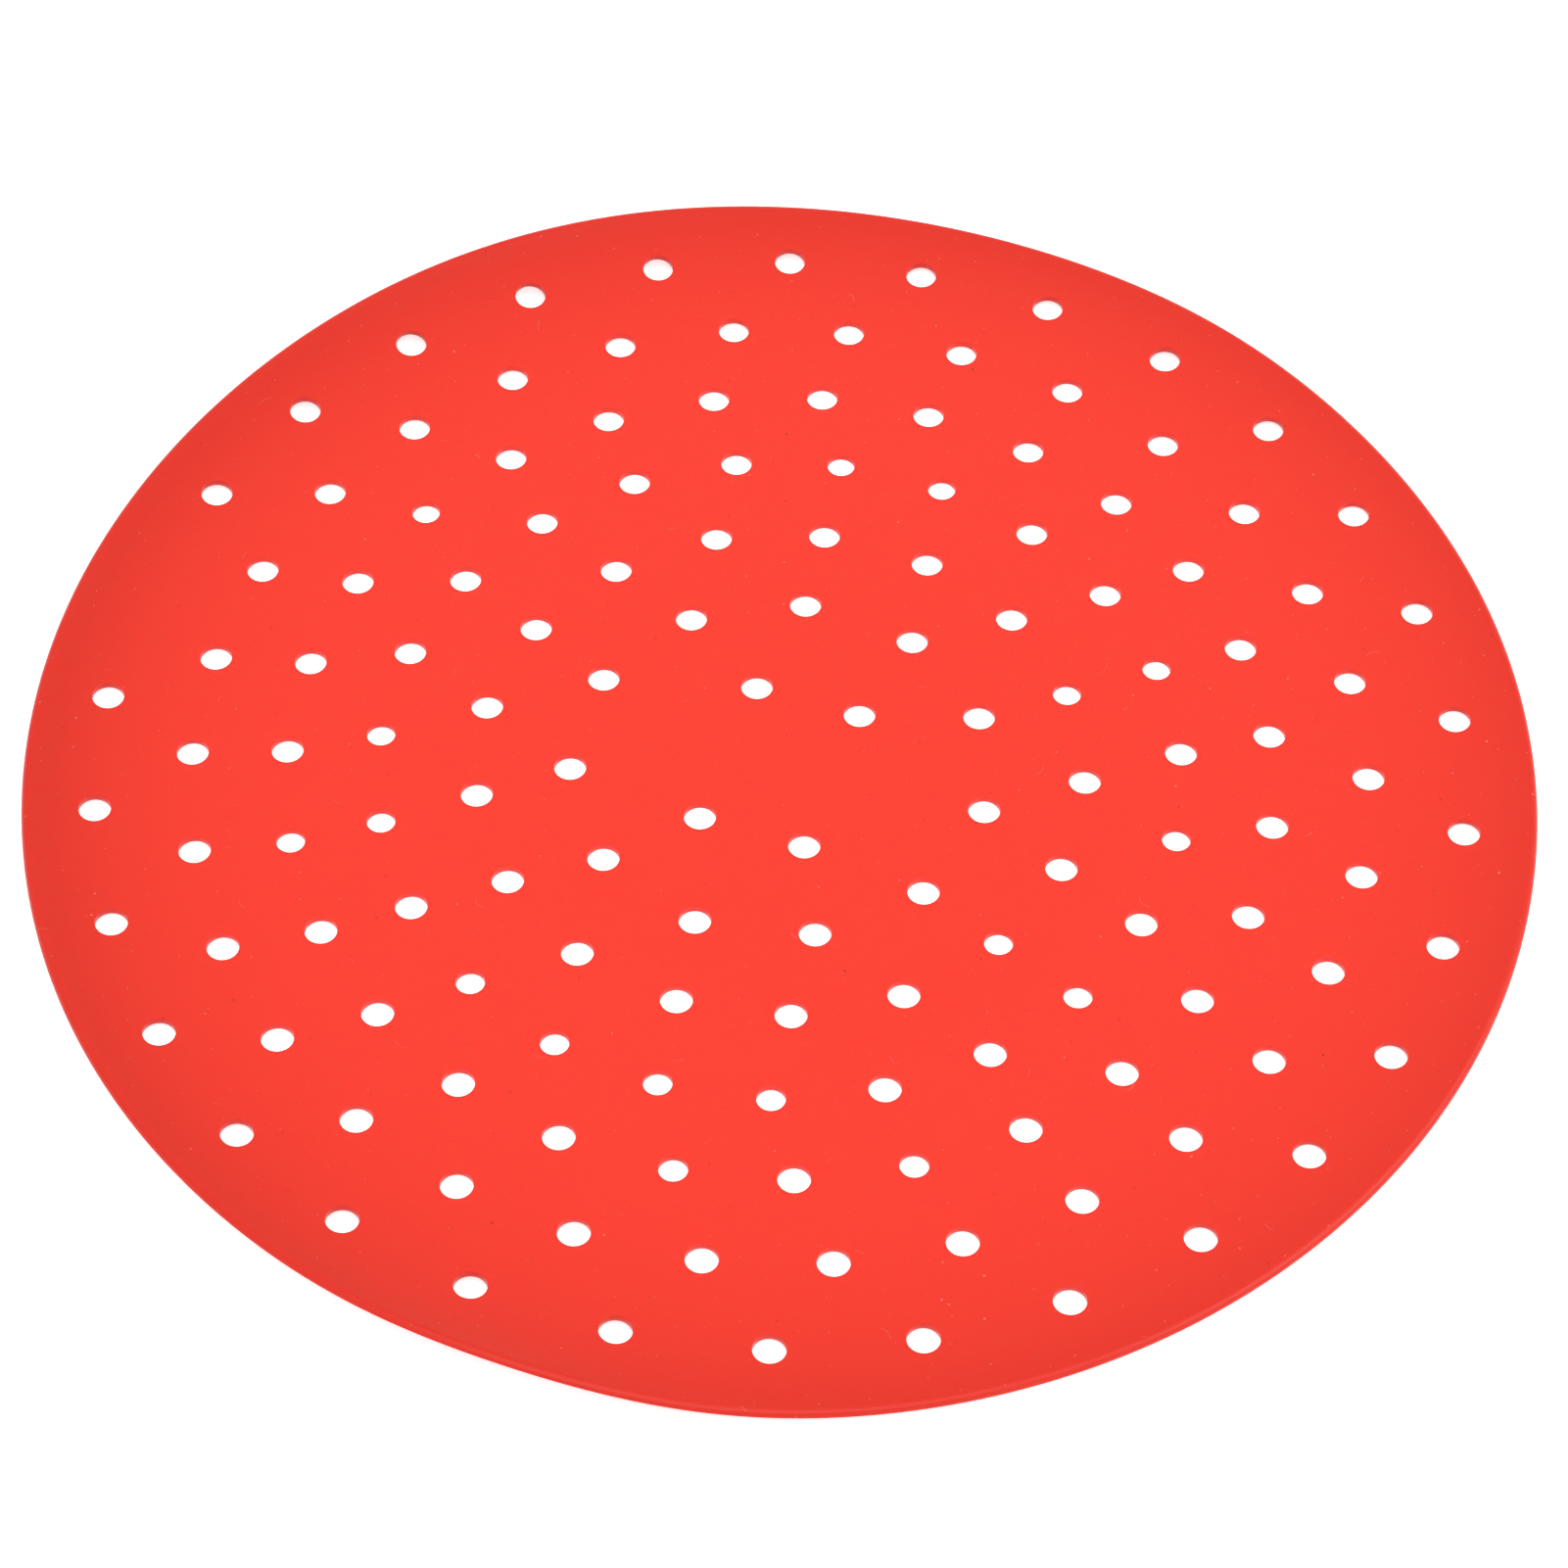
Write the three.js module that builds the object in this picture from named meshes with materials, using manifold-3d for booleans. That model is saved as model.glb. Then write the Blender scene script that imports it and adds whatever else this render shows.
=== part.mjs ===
// Perforated round steamer liner: one sheet of silicone rubber, flat as it leaves its mould.
// Millimetres, +Z up. The origin is the centre of the underside, which rests in the steamer.
import * as THREE from 'three';
import { mergeGeometries, mergeVertices } from 'three/addons/utils/BufferGeometryUtils.js';
import Module from 'manifold-3d';

// The sheet
const MAT_DIAMETER = 230;
const MAT_THICKNESS = 1.2;
const RIM_ROUND = 0.6;

// The steam holes: rings follow each other from the rim inwards at one pitch
const HOLE_DIAMETER = 4.9;
const RIM_MARGIN = 11.0;
const RING_PITCH = 14.4;

// Each ring from the rim inwards: spacing is the distance from hole to hole along the ring, first is
// the angle of its first hole in degrees, outward moves the whole ring, and solid is a place that
// is left unpierced, counted from the first hole
const RINGS = [
  { spacing: 21.8, first: -6.1, solid: 14 },
  { spacing: 18.8, first: -0.4 },
  { spacing: 17.5, first: 5.6 },
  { spacing: 16.7, first: 3.4, outward: 0.5 },
  { spacing: 17.2, first: -2.6 },
  { spacing: 18.3, first: -14.5 },
];

// The four middle holes: two facing pairs, each spread about one line through the centre
const MIDDLE_RADIUS = 15.7;
const MIDDLE_LINE = 72;
const MIDDLE_SPREAD = 32;

// Facets on round forms
const RIM_SIDES = 120;
const ROUND_STEPS = 2;
const HOLE_SIDES = 12;

const RED_SILICONE = new THREE.MeshStandardMaterial({ color: 0xfe4739, roughness: 0.55, metalness: 0 });

const wasm = await Module();
wasm.setup();

// A closed geometry as a solid: vertices at one place become one, and flat slivers at the axis go
function toSolid(geometry) {
  const bare = geometry.clone();
  bare.deleteAttribute('normal');
  bare.deleteAttribute('uv');
  const merged = mergeVertices(bare);
  const corners = merged.index.array;
  const triangles = [];
  for (let i = 0; i < corners.length; i += 3) {
    const [a, b, c] = corners.slice(i, i + 3);
    if (a !== b && b !== c && c !== a) triangles.push(a, b, c);
  }
  return new wasm.Manifold(new wasm.Mesh({
    numProp: 3,
    vertProperties: new Float32Array(merged.attributes.position.array),
    triVerts: new Uint32Array(triangles),
  }));
}

function toGeometry(solid) {
  const mesh = solid.getMesh();
  const geometry = new THREE.BufferGeometry();
  geometry.setAttribute('position', new THREE.BufferAttribute(mesh.vertProperties, 3));
  geometry.setIndex(new THREE.BufferAttribute(mesh.triVerts, 1));
  geometry.computeVertexNormals();
  return geometry;
}

// The unpierced disc, turned about +Z: flat underside, straight wall, rounded upper edge
function makeBlank() {
  const rim = MAT_DIAMETER / 2;
  const round = Math.min(RIM_ROUND, MAT_THICKNESS);
  const edge = new THREE.Path();
  edge.moveTo(0, 0);
  edge.lineTo(rim, 0);
  edge.lineTo(rim, MAT_THICKNESS - round);
  edge.absarc(rim - round, MAT_THICKNESS - round, round, 0, Math.PI / 2, false);
  edge.lineTo(0, MAT_THICKNESS);
  const profile = edge.getPoints(ROUND_STEPS);
  return new THREE.LatheGeometry(profile, RIM_SIDES).rotateX(Math.PI / 2);
}

// Hole centres of one ring, spread evenly, with its solid place left out
function ringCentres(radius, { spacing, first, solid }) {
  const places = Math.round((2 * Math.PI * radius) / spacing);
  const centres = [];
  for (let place = 0; place < places; place += 1) {
    if (place === solid) continue;
    const angle = THREE.MathUtils.degToRad(first + (360 * place) / places);
    centres.push(new THREE.Vector2(radius, 0).rotateAround(new THREE.Vector2(), angle));
  }
  return centres;
}

function middleCentres() {
  const angles = [0, 180].flatMap((turn) => [turn - MIDDLE_SPREAD, turn + MIDDLE_SPREAD]);
  return angles.map((angle) => {
    const turn = THREE.MathUtils.degToRad(MIDDLE_LINE + angle);
    return new THREE.Vector2(MIDDLE_RADIUS, 0).rotateAround(new THREE.Vector2(), turn);
  });
}

// All hole centres. A ring is kept while a full hole's width of rubber parts it from the middle holes
function holeCentres() {
  const centres = middleCentres();
  RINGS.forEach((ring, place) => {
    const radius = MAT_DIAMETER / 2 - RIM_MARGIN - place * RING_PITCH + (ring.outward ?? 0);
    const fits = radius - MIDDLE_RADIUS >= 2 * HOLE_DIAMETER;
    if (fits) centres.push(...ringCentres(radius, ring));
  });
  return centres;
}

// One round core pin through the sheet, long enough to pass both faces
function makePin(centre) {
  const length = 3 * MAT_THICKNESS;
  const pin = new THREE.CylinderGeometry(HOLE_DIAMETER / 2, HOLE_DIAMETER / 2, length, HOLE_SIDES);
  return pin.rotateX(Math.PI / 2).translate(centre.x, centre.y, MAT_THICKNESS / 2);
}

function makeMat() {
  const pins = mergeGeometries(holeCentres().map(makePin));
  const pierced = toSolid(makeBlank()).subtract(toSolid(pins));
  const mat = new THREE.Mesh(toGeometry(pierced), RED_SILICONE);
  mat.name = 'perforated_mat';
  return mat;
}

const steamerLiner = new THREE.Group();
steamerLiner.add(makeMat());

export default steamerLiner;
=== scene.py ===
import bmesh
import bpy
import numpy as np
from mathutils import Matrix, Vector


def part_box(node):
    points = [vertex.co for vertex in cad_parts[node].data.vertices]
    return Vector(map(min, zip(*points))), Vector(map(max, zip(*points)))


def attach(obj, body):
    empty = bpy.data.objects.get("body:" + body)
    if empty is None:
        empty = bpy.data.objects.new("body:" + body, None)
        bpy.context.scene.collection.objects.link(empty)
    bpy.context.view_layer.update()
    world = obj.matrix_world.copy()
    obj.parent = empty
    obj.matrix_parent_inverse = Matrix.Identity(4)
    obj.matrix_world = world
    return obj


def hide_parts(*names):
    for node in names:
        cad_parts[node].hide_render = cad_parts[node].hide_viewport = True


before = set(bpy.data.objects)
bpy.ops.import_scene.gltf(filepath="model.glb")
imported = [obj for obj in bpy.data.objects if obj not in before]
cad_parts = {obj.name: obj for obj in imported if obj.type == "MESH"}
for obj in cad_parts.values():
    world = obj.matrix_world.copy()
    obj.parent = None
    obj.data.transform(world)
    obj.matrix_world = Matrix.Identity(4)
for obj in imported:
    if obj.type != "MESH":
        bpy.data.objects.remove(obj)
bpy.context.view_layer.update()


# The perforated mat
# One sheet of red silicone rubber just over 1 mm thick, pressed in a hot steel mould whose core pins
# leave the steam holes. Its upper edge is rounded, and it lies loose, so that its rim curls up a little.
mat_low, mat_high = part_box("perforated_mat")
MAT_RADIUS = (mat_high[0] - mat_low[0]) / 2
MAT_THICKNESS = mat_high[2] - mat_low[2]

# Hole rings from the rim inwards, with angles in degrees. Solid places have no hole, and at tight
# places a skin of flash has left the hole narrower.
RIM_MARGIN = 0.011
RING_PITCH = 0.0144
HOLE_RADIUS = 0.00245
TIGHT_HOLE_RADIUS = 0.00218
RINGS = [
    {"places": 30, "first": -6.1, "outward": 0.0, "solid": [14], "tight": []},
    {"places": 30, "first": -0.4, "outward": 0.0, "solid": [], "tight": []},
    {"places": 27, "first": 5.6, "outward": 0.0, "solid": [], "tight": [10, 14, 19, 21]},
    {"places": 23, "first": 3.4, "outward": 0.0005, "solid": [],
     "tight": [1, 4, 5, 11, 12, 14, 15, 16, 17, 20, 22]},
    {"places": 17, "first": -2.6, "outward": 0.0, "solid": [], "tight": [1, 15]},
    {"places": 11, "first": -14.5, "outward": 0.0, "solid": [], "tight": []},
]

# The four middle holes: two facing pairs, spread in degrees to either side of a line through the centre
MIDDLE_RADIUS = 0.0157
MIDDLE_LINE = 72
MIDDLE_SPREAD = 32


def hole_rings():
    """Radius, hole angles and hole radii of each ring, from the rim inwards to the middle holes."""
    rings = []
    for number, ring in enumerate(RINGS):
        radius = MAT_RADIUS - RIM_MARGIN - number * RING_PITCH + ring["outward"]
        places = np.setdiff1d(np.arange(ring["places"]), ring["solid"])
        turns = np.radians(ring["first"] + 360 * places / ring["places"])
        tight = np.isin(places, ring["tight"])
        rings.append((radius, turns, np.where(tight, TIGHT_HOLE_RADIUS, HOLE_RADIUS)))
    spread = np.array([-MIDDLE_SPREAD, MIDDLE_SPREAD, 180 - MIDDLE_SPREAD, 180 + MIDDLE_SPREAD])
    rings.append((MIDDLE_RADIUS, np.radians(MIDDLE_LINE + spread), np.full(len(spread), HOLE_RADIUS)))
    return rings


# A hole's edges are broken by a small lip, with a narrow flat kept beside each round
HOLE_LIP = 0.00008
LIP_STEPS = 2
ROUND_MARGIN = 0.00005


def quarter_round(radius, steps):
    """Distance from the wall, and from the face, of points on a quarter circle from face to wall."""
    swept = np.linspace(0, np.pi / 2, steps + 1)
    return radius * (1 - np.sin(swept)), radius * (1 - np.cos(swept))


# Each hole sits in a tile of the sheet that reaches this far in and out along the mat's radius. The
# shares say where the tile's own rows of points lie between its edge and the hole's lip.
TILE_DEPTH = 0.0055
HOLE_SIDES = 32
TILE_SHARES = np.array([1, 0.5, 0.2, 0])


def ring_tiles(radius, turns, hole_radii):
    """Plan positions (x + iy) and heights of one ring's tiles, each [hole, place round it, step].

    A circle is blown out to a square, and the square is bent to a sector that reaches half way to the
    next hole on either side. The steps run from the sector's edge to the hole on the upper face, down
    the hole's wall, and out again underneath; on the faces each lies a share of the way to the sector.
    """
    from_wall, from_face = quarter_round(HOLE_LIP, LIP_STEPS)
    face = np.full(len(TILE_SHARES), HOLE_LIP + ROUND_MARGIN)
    level = np.zeros(len(TILE_SHARES))
    lip = np.zeros(len(from_wall))
    out = np.concatenate([face, from_wall, from_wall[::-1], face])
    upper = MAT_THICKNESS - np.concatenate([level, from_face])
    height = np.concatenate([upper, from_face[::-1], level])
    share = np.concatenate([TILE_SHARES, lip, lip, TILE_SHARES[::-1]])

    circle = np.exp(2j * np.pi * np.arange(HOLE_SIDES) / HOLE_SIDES)
    square = circle / np.maximum(abs(circle.real), abs(circle.imag))
    to_next = (np.roll(turns, -1) - turns) % (2 * np.pi) / 2
    to_last = np.roll(to_next, 1)
    half_way = np.where(square.imag > 0, to_next[:, None], to_last[:, None])
    sector_turns = turns[:, None] + square.imag * half_way
    sector = (radius + TILE_DEPTH * square.real) * np.exp(1j * sector_turns)
    hole = radius + (hole_radii[:, None, None] + out) * circle[:, None]
    hole = hole * np.exp(1j * turns)[:, None, None]
    plan = hole + share * (sector[:, :, None] - hole)
    return plan, np.broadcast_to(height, plan.shape)


# The rim is a strip of its own, with a full round above and a narrow one below
RIM_STRIP = 0.0045
RIM_STEPS = 6
RIM_SIDES = 360
RIM_UPPER_ROUND = 0.001
RIM_UPPER_ROUND_STEPS = 8
RIM_LOWER_ROUND = 0.00015
RIM_LOWER_ROUND_STEPS = 2


def rim_tiles():
    """Plan positions and heights of the rim, [1, place round the mat, step].

    One profile is carried round the circle: out along the underside, over the lower round, up the
    wall, over the upper round and in along the upper face.
    """
    lower_out, lower_up = quarter_round(RIM_LOWER_ROUND, RIM_LOWER_ROUND_STEPS)
    upper_out, upper_down = quarter_round(RIM_UPPER_ROUND, RIM_UPPER_ROUND_STEPS)
    lower_face = np.linspace(RIM_STRIP, RIM_LOWER_ROUND + ROUND_MARGIN, RIM_STEPS)
    upper_face = np.linspace(RIM_UPPER_ROUND + ROUND_MARGIN, RIM_STRIP, RIM_STEPS)
    level = np.zeros(RIM_STEPS)
    inset = np.concatenate([lower_face, lower_out, upper_out[::-1], upper_face])
    upper = MAT_THICKNESS - np.concatenate([upper_down[::-1], level])
    height = np.concatenate([level, lower_up, upper])
    round_mat = np.exp(2j * np.pi * np.arange(RIM_SIDES) / RIM_SIDES)
    plan = (MAT_RADIUS - inset) * round_mat[None, :, None]
    return plan, np.broadcast_to(height, plan.shape)


def band_faces(index):
    """Quads of closed bands: each joins two neighbours round the band with the same two one step on."""
    onward = np.roll(index, -1, axis=1)
    corners = [index[:, :, :-1], onward[:, :, :-1], onward[:, :, 1:], index[:, :, 1:]]
    return np.stack(corners, axis=-1).reshape(-1, 4)


def zip_faces(outer, outer_turns, inner, inner_turns):
    """Triangles that fill the strip between two circles of points, both in order of their angle.

    Going round, each stretch of one circle is joined to the last point passed on the other circle.
    """
    next_outer = np.roll(outer_turns, -1)
    next_inner = np.roll(inner_turns, -1)
    passed_inner = np.searchsorted(inner_turns, next_outer, "left") - 1
    passed_outer = np.searchsorted(outer_turns, next_inner, "right") - 1
    on_outer = np.stack([outer, np.roll(outer, -1), inner[passed_inner]], axis=-1)
    on_inner = np.stack([np.roll(inner, -1), inner, outer[passed_outer]], axis=-1)
    return np.concatenate([on_outer, on_inner])


# How the free sheet lies: its rim curls up, a little all round and more at a few swells, and the curl
# fades inwards over about a centimetre. The angles are in degrees.
CURL_HEIGHT = 0.001
CURL_FADE = 0.01035
SWELLS = [
    {"turn": 113.7, "height": 0.00361, "narrowness": 6.0},
    {"turn": 231.3, "height": 0.00191, "narrowness": 9.1},
    {"turn": 251.2, "height": 0.00226, "narrowness": 40.0},
    {"turn": 52.3, "height": 0.00072, "narrowness": 30.6},
]

# The curl's slope is measured over this distance to either side
SLOPE_STEP = 0.0001


def curl(plan):
    """Height that the sheet's middle layer gains at a plan position.

    The rim's height is a constant plus one bell curve round each swell, and it fades exponentially with
    the distance from the rim.
    """
    rim = CURL_HEIGHT
    for swell in SWELLS:
        away = np.cos(np.angle(plan) - np.radians(swell["turn"])) - 1
        rim = rim + swell["height"] * np.exp(swell["narrowness"] * away)
    return rim * np.exp((abs(plan) - MAT_RADIUS) / CURL_FADE)


def lay_down(plan, height):
    """Points of the lying sheet: each keeps its depth in the sheet along the curled layer's normal."""
    slope_x = (curl(plan + SLOPE_STEP) - curl(plan - SLOPE_STEP)) / (2 * SLOPE_STEP)
    slope_y = (curl(plan + 1j * SLOPE_STEP) - curl(plan - 1j * SLOPE_STEP)) / (2 * SLOPE_STEP)
    middle = MAT_THICKNESS / 2
    depth = (height - middle) / np.sqrt(1 + slope_x ** 2 + slope_y ** 2)
    x = plan.real - depth * slope_x
    y = plan.imag - depth * slope_y
    return np.stack([x, y, middle + curl(plan) + depth], axis=-1)


# Points where neighbouring tiles meet become one
WELD_DISTANCE = 0.000001


def make_mat():
    """The whole sheet: rim strip, hole tiles, the strips between their circles, and the middle disc."""
    rings = hole_rings()
    bands = [rim_tiles()] + [ring_tiles(*ring) for ring in rings]
    plans, heights = zip(*bands)
    starts = np.cumsum([0] + [plan.size for plan in plans])
    grids = [start + np.arange(plan.size).reshape(plan.shape) for start, plan in zip(starts, plans)]
    plan = np.concatenate([plan.ravel() for plan in plans] + [np.zeros(2)])
    height = np.concatenate([height.ravel() for height in heights] + [[MAT_THICKNESS, 0]])
    upper_middle = starts[-1]
    lower_middle = starts[-1] + 1

    def in_order(index):
        """Points of one circle by their angle, with those angles."""
        turns = np.angle(plan[index]) % (2 * np.pi)
        order = np.argsort(turns)
        return index[order], turns[order]

    # A tile's edge points on its outer and inner circle; the last of each is its neighbour's first
    eighth = HOLE_SIDES // 8
    outer_places = np.arange(-eighth, eighth)
    inner_places = np.arange(5 * eighth, 3 * eighth, -1)
    faces = [band_faces(grid) for grid in grids]
    upper_edge = grids[0][0, :, -1]
    lower_edge = grids[0][0, :, 0]
    for grid in grids[1:]:
        upper = zip_faces(*in_order(upper_edge), *in_order(grid[:, outer_places, 0].ravel()))
        lower = zip_faces(*in_order(lower_edge), *in_order(grid[:, outer_places, -1].ravel()))
        faces += [upper, lower[:, ::-1]]
        upper_edge = grid[:, inner_places, 0].ravel()
        lower_edge = grid[:, inner_places, -1].ravel()
    upper_edge = in_order(upper_edge)[0]
    lower_edge = in_order(lower_edge)[0]
    upper = [np.full(len(upper_edge), upper_middle), upper_edge, np.roll(upper_edge, -1)]
    lower = [np.full(len(lower_edge), lower_middle), np.roll(lower_edge, -1), lower_edge]
    faces += [np.stack(upper, axis=-1), np.stack(lower, axis=-1)]

    points = lay_down(plan, height).tolist()
    corners = [face for block in faces for face in block.tolist()]
    mesh = bpy.data.meshes.new("silicone_mat")
    mesh.from_pydata(points, [], corners)
    welded = bmesh.new()
    welded.from_mesh(mesh)
    bmesh.ops.remove_doubles(welded, verts=welded.verts, dist=WELD_DISTANCE)
    welded.to_mesh(mesh)
    welded.free()
    mesh.shade_smooth()
    mat = bpy.data.objects.new("silicone_mat", mesh)
    bpy.context.collection.objects.link(mat)
    return mat


def add_node(tree, kind, sockets, **settings):
    """A shader node with its settings. Each socket gets a value, or a link from another node."""
    node = tree.nodes.new(kind)
    for name, value in settings.items():
        setattr(node, name, value)
    for name, value in sockets.items():
        if isinstance(value, bpy.types.NodeSocket):
            tree.links.new(value, node.inputs[name])
        else:
            node.inputs[name].default_value = value
    return node


def calculate(tree, operation, *values):
    """The output of a Math node on one, two or three values."""
    node = add_node(tree, "ShaderNodeMath", dict(enumerate(values)), operation=operation)
    return node.outputs[0]


def vector_math(tree, operation, *values):
    """The output of a Vector Math node on one or two vectors."""
    node = add_node(tree, "ShaderNodeVectorMath", dict(enumerate(values)), operation=operation)
    return node.outputs[0]


def length(tree, vector):
    """A vector's length."""
    return add_node(tree, "ShaderNodeVectorMath", {0: vector}, operation="LENGTH").outputs["Value"]


def fade(tree, value, full, gone):
    """1 where a value is at full, 0 where it is at gone, and a smooth step between."""
    ends = {"Value": value, "From Min": full, "From Max": gone, "To Min": 1.0, "To Max": 0.0}
    return add_node(tree, "ShaderNodeMapRange", ends, interpolation_type="SMOOTHSTEP").outputs["Result"]


# Where a Mix node takes its two colours and gives the blend
MIX_FIRST = 6
MIX_SECOND = 7
MIX_RESULT = 2


def blend(tree, share, first, second):
    """A colour that goes from first to second with a share."""
    sockets = {"Factor": share, MIX_FIRST: first, MIX_SECOND: second}
    return add_node(tree, "ShaderNodeMix", sockets, data_type="RGBA").outputs[MIX_RESULT]


# The sheet's reds, linear, with painted shade: brightest a little right of the middle, and painted
# deeper towards the rim
MIDDLE_RED = (0.943, 0.038, 0.016, 1)
RIM_PAINTED_SHADE_RED = (0.726, 0.022, 0.0068, 1)
PAINTED_LIGHT_CENTRE = (0.004, -0.0006, 0)
PAINTED_SHADE_POWER = 6.5

# Light enters the rubber and leaves it again about a millimetre away, red light the farthest
SCATTER_SHARE = 0.7
SCATTER_DEPTH = 0.0012
SCATTER_REDS = (1.0, 0.15, 0.1)
SILICONE_IOR = 1.41
SILICONE_GLOSS = 0.4

# Dust that silicone always holds: pale specks, dark crumbs and a few short pale fibres. Each strength
# is that of the faintest ones, and a higher spread makes strong ones more common.
PALE_DUST = (0.95, 0.42, 0.36, 1)
DARK_DUST = (0.12, 0.006, 0.004, 1)
SPECKS = {"cell": 0.006, "radius": 0.00025, "strength": 0.132, "spread": 0.5}
CRUMBS = {"cell": 0.01, "radius": 0.00026, "strength": 0.125, "spread": 0.4}
FIBRES = {"cell": 0.025, "half_length": 0.0012, "half_width": 0.00013, "bend": 0.0016,
          "strength": 0.2, "spread": 0.3}

# Pale dust is thinnest left of the middle, and shows more towards the rim
DUST_CENTRE = (-0.03, -0.012, 0)
DUST_LEAST = 0.58
DUST_GAIN = 0.31
DUST_POWER = 2.0

# The satin face is rougher and smoother in patches, and the mould leaves a fine grain on it
SATIN = 0.32
SATIN_SPREAD = 0.06
SATIN_PATCH = 0.02
SATIN_DETAIL = 3.0
GRAIN = 0.00035
GRAIN_DETAIL = 2.0
GRAIN_DEPTH = 0.000012
GRAIN_STRENGTH = 0.3

# Keeps a vector's part in plan
IN_PLAN = (1, 1, 0)


def outwards(tree, place, centre):
    """Distance in plan from a centre, in mat radii."""
    plan = vector_math(tree, "MULTIPLY", place, IN_PLAN)
    radius = length(tree, vector_math(tree, "SUBTRACT", plan, centre))
    return calculate(tree, "DIVIDE", radius, MAT_RADIUS)


def scatter(tree, place, cell):
    """Scattered points, one to a cell: the flat offset from the nearest one, and its random numbers."""
    points = {"Vector": place, "Scale": 1 / cell}
    points = add_node(tree, "ShaderNodeTexVoronoi", points, voronoi_dimensions="2D").outputs
    offset = vector_math(tree, "SUBTRACT", place, points["Position"])
    chance = add_node(tree, "ShaderNodeSeparateColor", {"Color": points["Color"]}).outputs
    return vector_math(tree, "MULTIPLY", offset, IN_PLAN), chance


def dust_strength(tree, chance, strength, spread):
    """The strength divided by a random number from 0 to 1 to the power of the spread, and at most 1."""
    stronger = calculate(tree, "POWER", chance, -spread)
    return calculate(tree, "MINIMUM", calculate(tree, "MULTIPLY", stronger, strength), 1.0)


def speck_mask(tree, place, cell, radius, strength, spread):
    """Round specks that fade out from the scattered points."""
    offset, chance = scatter(tree, place, cell)
    dot = fade(tree, length(tree, offset), 0.0, radius)
    return calculate(tree, "MULTIPLY", dot, dust_strength(tree, chance["Red"], strength, spread))


def fibre_mask(tree, place, cell, half_length, half_width, bend, strength, spread):
    """Short arcs at the scattered points: near a circle, and near that circle's lowest point.

    The offset from the point is turned by a random angle, so each fibre lies its own way.
    """
    offset, chance = scatter(tree, place, cell)
    turned = {"Vector": offset, "Angle": calculate(tree, "MULTIPLY", chance["Blue"], 2 * np.pi)}
    turned = add_node(tree, "ShaderNodeVectorRotate", turned, rotation_type="Z_AXIS").outputs[0]
    from_centre = length(tree, vector_math(tree, "SUBTRACT", turned, (0, bend, 0)))
    beside = calculate(tree, "ABSOLUTE", calculate(tree, "SUBTRACT", from_centre, bend))
    reach = calculate(tree, "MULTIPLY", chance["Green"], half_length)
    within = calculate(tree, "LESS_THAN", length(tree, offset), reach)
    line = calculate(tree, "MULTIPLY", fade(tree, beside, 0.0, half_width), within)
    return calculate(tree, "MULTIPLY", line, dust_strength(tree, chance["Red"], strength, spread))


def noise(tree, place, size, detail):
    """Soft noise with patches of a size, and finer ones in them."""
    sockets = {"Vector": place, "Scale": 1 / size, "Detail": detail}
    return add_node(tree, "ShaderNodeTexNoise", sockets).outputs[0]


def red_silicone():
    """Satin silicone: red with painted shade that deepens it towards the rim, dust on it, and a fine
    grain from the mould.
    """
    material = bpy.data.materials.new("satin_silicone")
    material.use_nodes = True
    tree = material.node_tree
    shader = tree.nodes["Principled BSDF"]
    place = add_node(tree, "ShaderNodeTexCoord", {}).outputs["Object"]

    # Painted shade: the red is darkened towards the rim, away from a painted bright spot a little right
    # of the middle
    painted_rim_shade = calculate(tree, "POWER", outwards(tree, place, PAINTED_LIGHT_CENTRE), PAINTED_SHADE_POWER)
    colour = blend(tree, painted_rim_shade, MIDDLE_RED, RIM_PAINTED_SHADE_RED)
    dusty = calculate(tree, "POWER", outwards(tree, place, DUST_CENTRE), DUST_POWER)
    dusty = calculate(tree, "MULTIPLY_ADD", dusty, DUST_GAIN, DUST_LEAST)
    specks = calculate(tree, "MULTIPLY", speck_mask(tree, place, **SPECKS), dusty)
    fibres = calculate(tree, "MULTIPLY", fibre_mask(tree, place, **FIBRES), dusty)
    colour = blend(tree, specks, colour, PALE_DUST)
    colour = blend(tree, speck_mask(tree, place, **CRUMBS), colour, DARK_DUST)
    colour = blend(tree, fibres, colour, PALE_DUST)
    tree.links.new(colour, shader.inputs["Base Color"])

    patches = noise(tree, place, SATIN_PATCH, SATIN_DETAIL)
    rough = {"Value": patches, "To Min": SATIN - SATIN_SPREAD, "To Max": SATIN + SATIN_SPREAD}
    rough = add_node(tree, "ShaderNodeMapRange", rough)
    tree.links.new(rough.outputs["Result"], shader.inputs["Roughness"])
    grain = noise(tree, place, GRAIN, GRAIN_DETAIL)
    bump = {"Height": grain, "Strength": GRAIN_STRENGTH, "Distance": GRAIN_DEPTH}
    bump = add_node(tree, "ShaderNodeBump", bump)
    tree.links.new(bump.outputs["Normal"], shader.inputs["Normal"])
    shader.inputs["IOR"].default_value = SILICONE_IOR
    shader.inputs["Specular IOR Level"].default_value = SILICONE_GLOSS
    shader.inputs["Subsurface Weight"].default_value = SCATTER_SHARE
    shader.inputs["Subsurface Radius"].default_value = SCATTER_REDS
    shader.inputs["Subsurface Scale"].default_value = SCATTER_DEPTH
    return material


silicone_mat = make_mat()
silicone_mat.data.materials.append(red_silicone())
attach(silicone_mat, "root")
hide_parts("perforated_mat")


# The table top
# A matt white board under the mat, wide enough to fill the view. To the camera it is brighter than the
# light on it makes it, so that it stays white outside the mat's soft shadow.
TABLE_HALF = 3.0
TABLE_DROP = 0.0001
TABLE_WHITE = 0.95
TABLE_GLOW = 0.66
WHITE = (1, 1, 1, 1)


def seen_directly(tree):
    """1 for rays from the camera, a gloss or a clear body, and 0 for light that only bounces."""
    rays = add_node(tree, "ShaderNodeLightPath", {}).outputs
    seen = calculate(tree, "MAXIMUM", rays["Is Camera Ray"], rays["Is Glossy Ray"])
    return calculate(tree, "MAXIMUM", seen, rays["Is Transmission Ray"])


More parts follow.
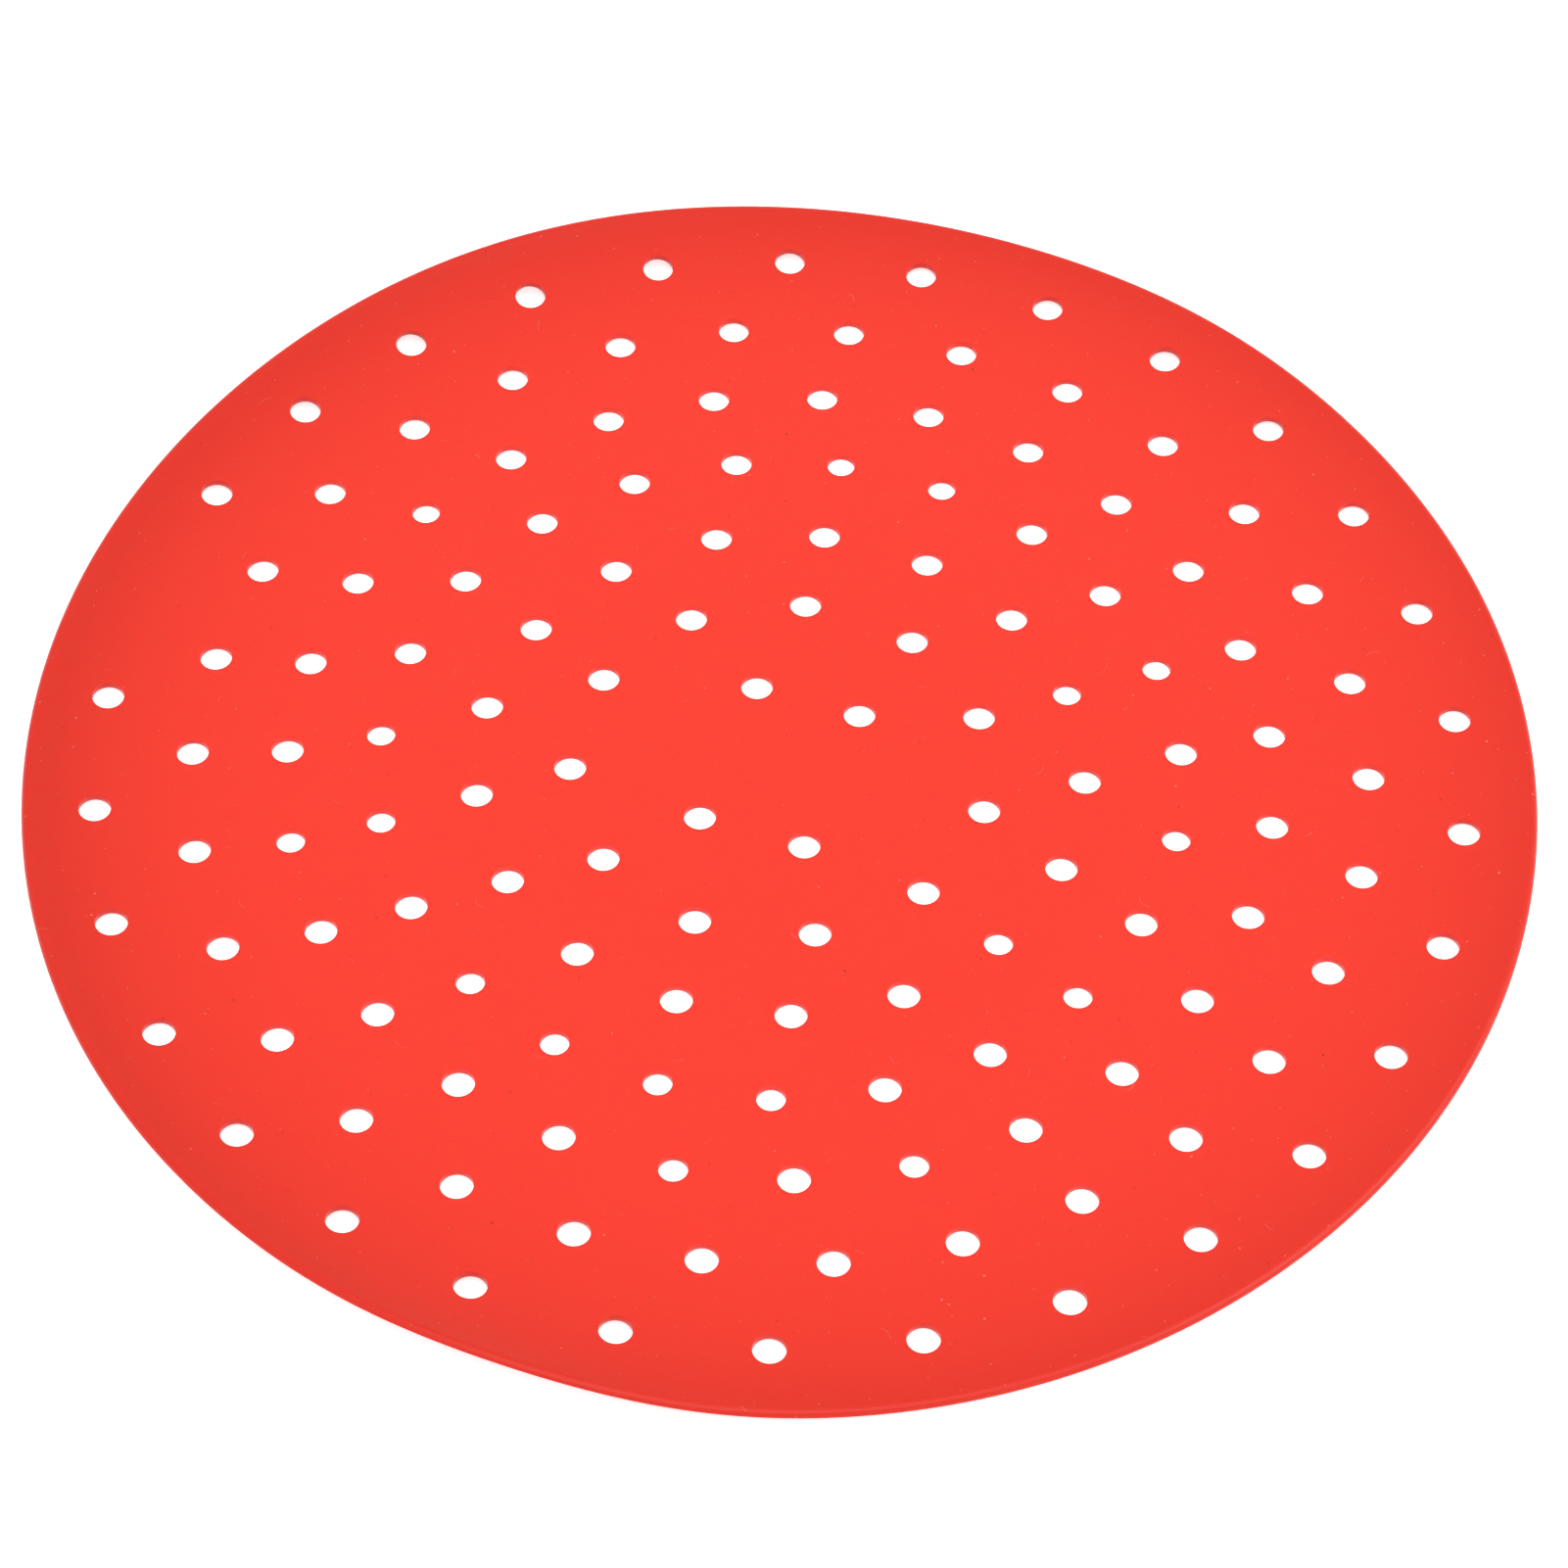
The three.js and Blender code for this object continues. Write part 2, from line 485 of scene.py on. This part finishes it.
def white_table():
    """Matt white with a glow that lights nothing."""
    material = bpy.data.materials.new("white_table")
    material.use_nodes = True
    tree = material.node_tree
    tree.nodes.clear()
    paint = (TABLE_WHITE, TABLE_WHITE, TABLE_WHITE, 1)
    matt = add_node(tree, "ShaderNodeBsdfDiffuse", {"Color": paint})
    strength = calculate(tree, "MULTIPLY", seen_directly(tree), TABLE_GLOW)
    glow = add_node(tree, "ShaderNodeEmission", {"Color": WHITE, "Strength": strength})
    both = add_node(tree, "ShaderNodeAddShader", {0: matt.outputs[0], 1: glow.outputs[0]})
    add_node(tree, "ShaderNodeOutputMaterial", {"Surface": both.outputs[0]})
    return material


square = np.array([[-1, -1, 0], [1, -1, 0], [1, 1, 0], [-1, 1, 0]])
table_corners = TABLE_HALF * square - [0, 0, TABLE_DROP]
table_mesh = bpy.data.meshes.new("table_top")
table_mesh.from_pydata(table_corners.tolist(), [], [[0, 1, 2, 3]])
table_mesh.materials.append(white_table())
table_top = bpy.data.objects.new("table_top", table_mesh)
bpy.context.collection.objects.link(table_top)


# The light
# A white room and a wide lamp overhead light the mat evenly, with a weak soft box at the front right.
# Two cards, at the right and above the front, show only as gloss, mostly on the rounded edge.
ROOM_LIGHT = 0.68
ROOM_SEEN = 1.0
OVERHEAD_LAMP = {"strength": 0.92, "width": 70, "direction": (0, 0, 1)}
SOFT_BOX = {"strength": 0.48, "width": 70, "direction": (0.5, -0.5, 0.7)}
RIGHT_CARD = {"strength": 1.0, "width": 54, "direction": (0.76, -0.07, 0.64)}
FRONT_CARD = {"strength": 0.75, "width": 52, "direction": (-0.18, -0.38, 0.91)}

world = bpy.data.worlds.new("white_room")
world.use_nodes = True
bpy.context.scene.world = world
room = world.node_tree
sky = room.nodes["Background"]
sky.inputs["Color"].default_value = WHITE
levels = {"Value": seen_directly(room), "To Min": ROOM_LIGHT, "To Max": ROOM_SEEN}
level = add_node(room, "ShaderNodeMapRange", levels)
room.links.new(level.outputs["Result"], sky.inputs["Strength"])


def add_lamp(name, strength, width, direction):
    """A lamp far away in a direction, as wide as an angle in degrees."""
    data = bpy.data.lights.new(name, "SUN")
    data.energy = strength
    data.angle = np.radians(width)
    lamp = bpy.data.objects.new(name, data)
    lamp.rotation_mode = "QUATERNION"
    lamp.rotation_quaternion = Vector(direction).to_track_quat("Z", "Y")
    bpy.context.collection.objects.link(lamp)
    return lamp


overhead = add_lamp("overhead_lamp", **OVERHEAD_LAMP)
overhead.visible_glossy = False
add_lamp("soft_box", **SOFT_BOX)
right_card = add_lamp("right_card", **RIGHT_CARD)
right_card.visible_diffuse = False
front_card = add_lamp("front_card", **FRONT_CARD)
front_card.visible_diffuse = False


# The camera
# It looks down at the mat from the front, from about three and a half mat widths away, a little rolled.
CAMERA_ELEVATION = 52.375
CAMERA_ROLL = 0.92
CAMERA_DISTANCE = 0.78456
CAMERA_TARGET = Vector((0.0006, -0.00324, MAT_THICKNESS / 2))
CAMERA_LENS = 118.47
CAMERA_SENSOR = 36

camera_data = bpy.data.cameras.new("front_camera")
camera_data.sensor_width = CAMERA_SENSOR
camera_data.lens = CAMERA_LENS
camera = bpy.data.objects.new("front_camera", camera_data)
tilt = Matrix.Rotation(np.radians(90 - CAMERA_ELEVATION), 4, "X")
roll = Matrix.Rotation(np.radians(CAMERA_ROLL), 4, "Z")
back_off = Matrix.Translation((0, 0, CAMERA_DISTANCE))
camera.matrix_world = Matrix.Translation(CAMERA_TARGET) @ tilt @ roll @ back_off
bpy.context.collection.objects.link(camera)
bpy.context.scene.camera = camera
bpy.context.scene.view_settings.view_transform = "Standard"
